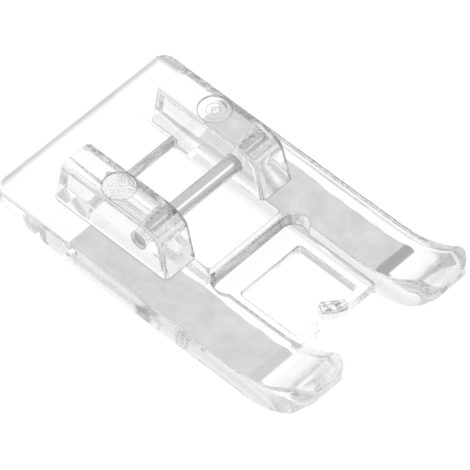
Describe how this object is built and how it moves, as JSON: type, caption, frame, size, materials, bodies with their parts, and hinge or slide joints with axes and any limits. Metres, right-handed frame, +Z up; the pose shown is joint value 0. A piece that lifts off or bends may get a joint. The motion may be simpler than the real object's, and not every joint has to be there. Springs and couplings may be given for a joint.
{
  "type": "sewing machine presser foot",
  "caption": "Clear moulded clip-on presser foot with upturned toes, a needle window with an angled threading slit, and ankle lugs joined by a steel cross pin.",
  "frame": {"origin": "middle of the foot's outline, on the surface that the running faces rest on", "axes": "+Z up, toes toward -Y, cross pin along X"},
  "size_m": [0.023, 0.0396, 0.0083],
  "materials": {
    "clear_plastic": "clear, polished in the mould",
    "steel": "ground and polished"
  },
  "bodies": {
    "root": {"clear_foot": "clear_plastic", "cross_pin": "steel"}
  },
  "joints": []
}
